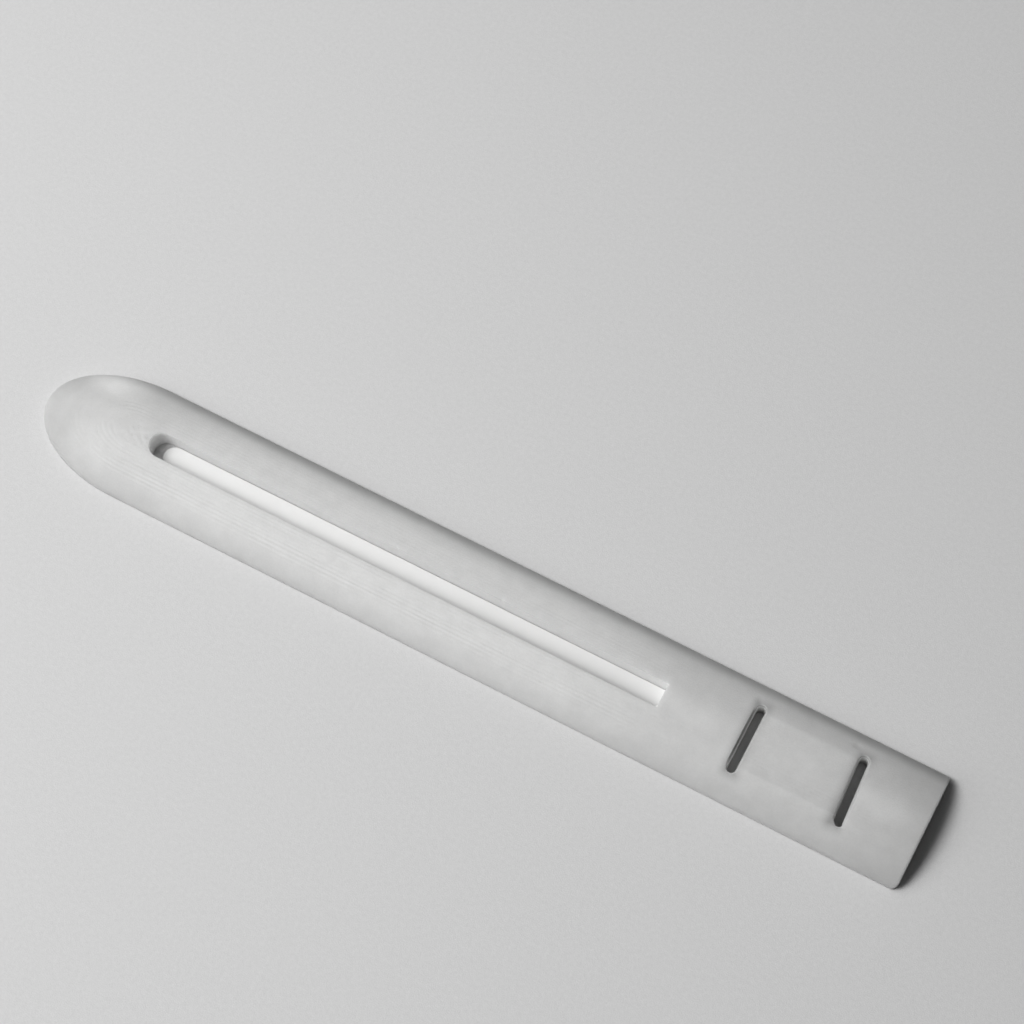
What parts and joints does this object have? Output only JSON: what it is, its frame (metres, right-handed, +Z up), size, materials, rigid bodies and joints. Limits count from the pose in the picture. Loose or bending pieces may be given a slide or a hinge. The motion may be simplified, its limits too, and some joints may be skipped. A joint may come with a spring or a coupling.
{
  "type": "blending stump",
  "caption": "Crowned, round-nosed blending stump with a flat underside, a lift-out smooth strip in its ridge groove and two cross slots with a flat seat between them for a strap.",
  "frame": {"origin": "middle of the flat underside's length and width, on the surface the bar rests on", "axes": "+X along the bar towards the square butt, +Y across it, +Z up through the crown"},
  "size_m": [0.15, 0.0192, 0.0053],
  "materials": {
    "body_plastic": "matt white with fine drawn lines",
    "strip_plastic": "smooth bright white, satin"
  },
  "bodies": {
    "body": {"body": "body_plastic"},
    "strip": {"blending_strip": "strip_plastic"}
  },
  "joints": [
    {"name": "strip_lift", "type": "slide", "parent": "body", "child": "strip", "axis": [0, 0, 1], "range_m": [0, 0.008]}
  ]
}
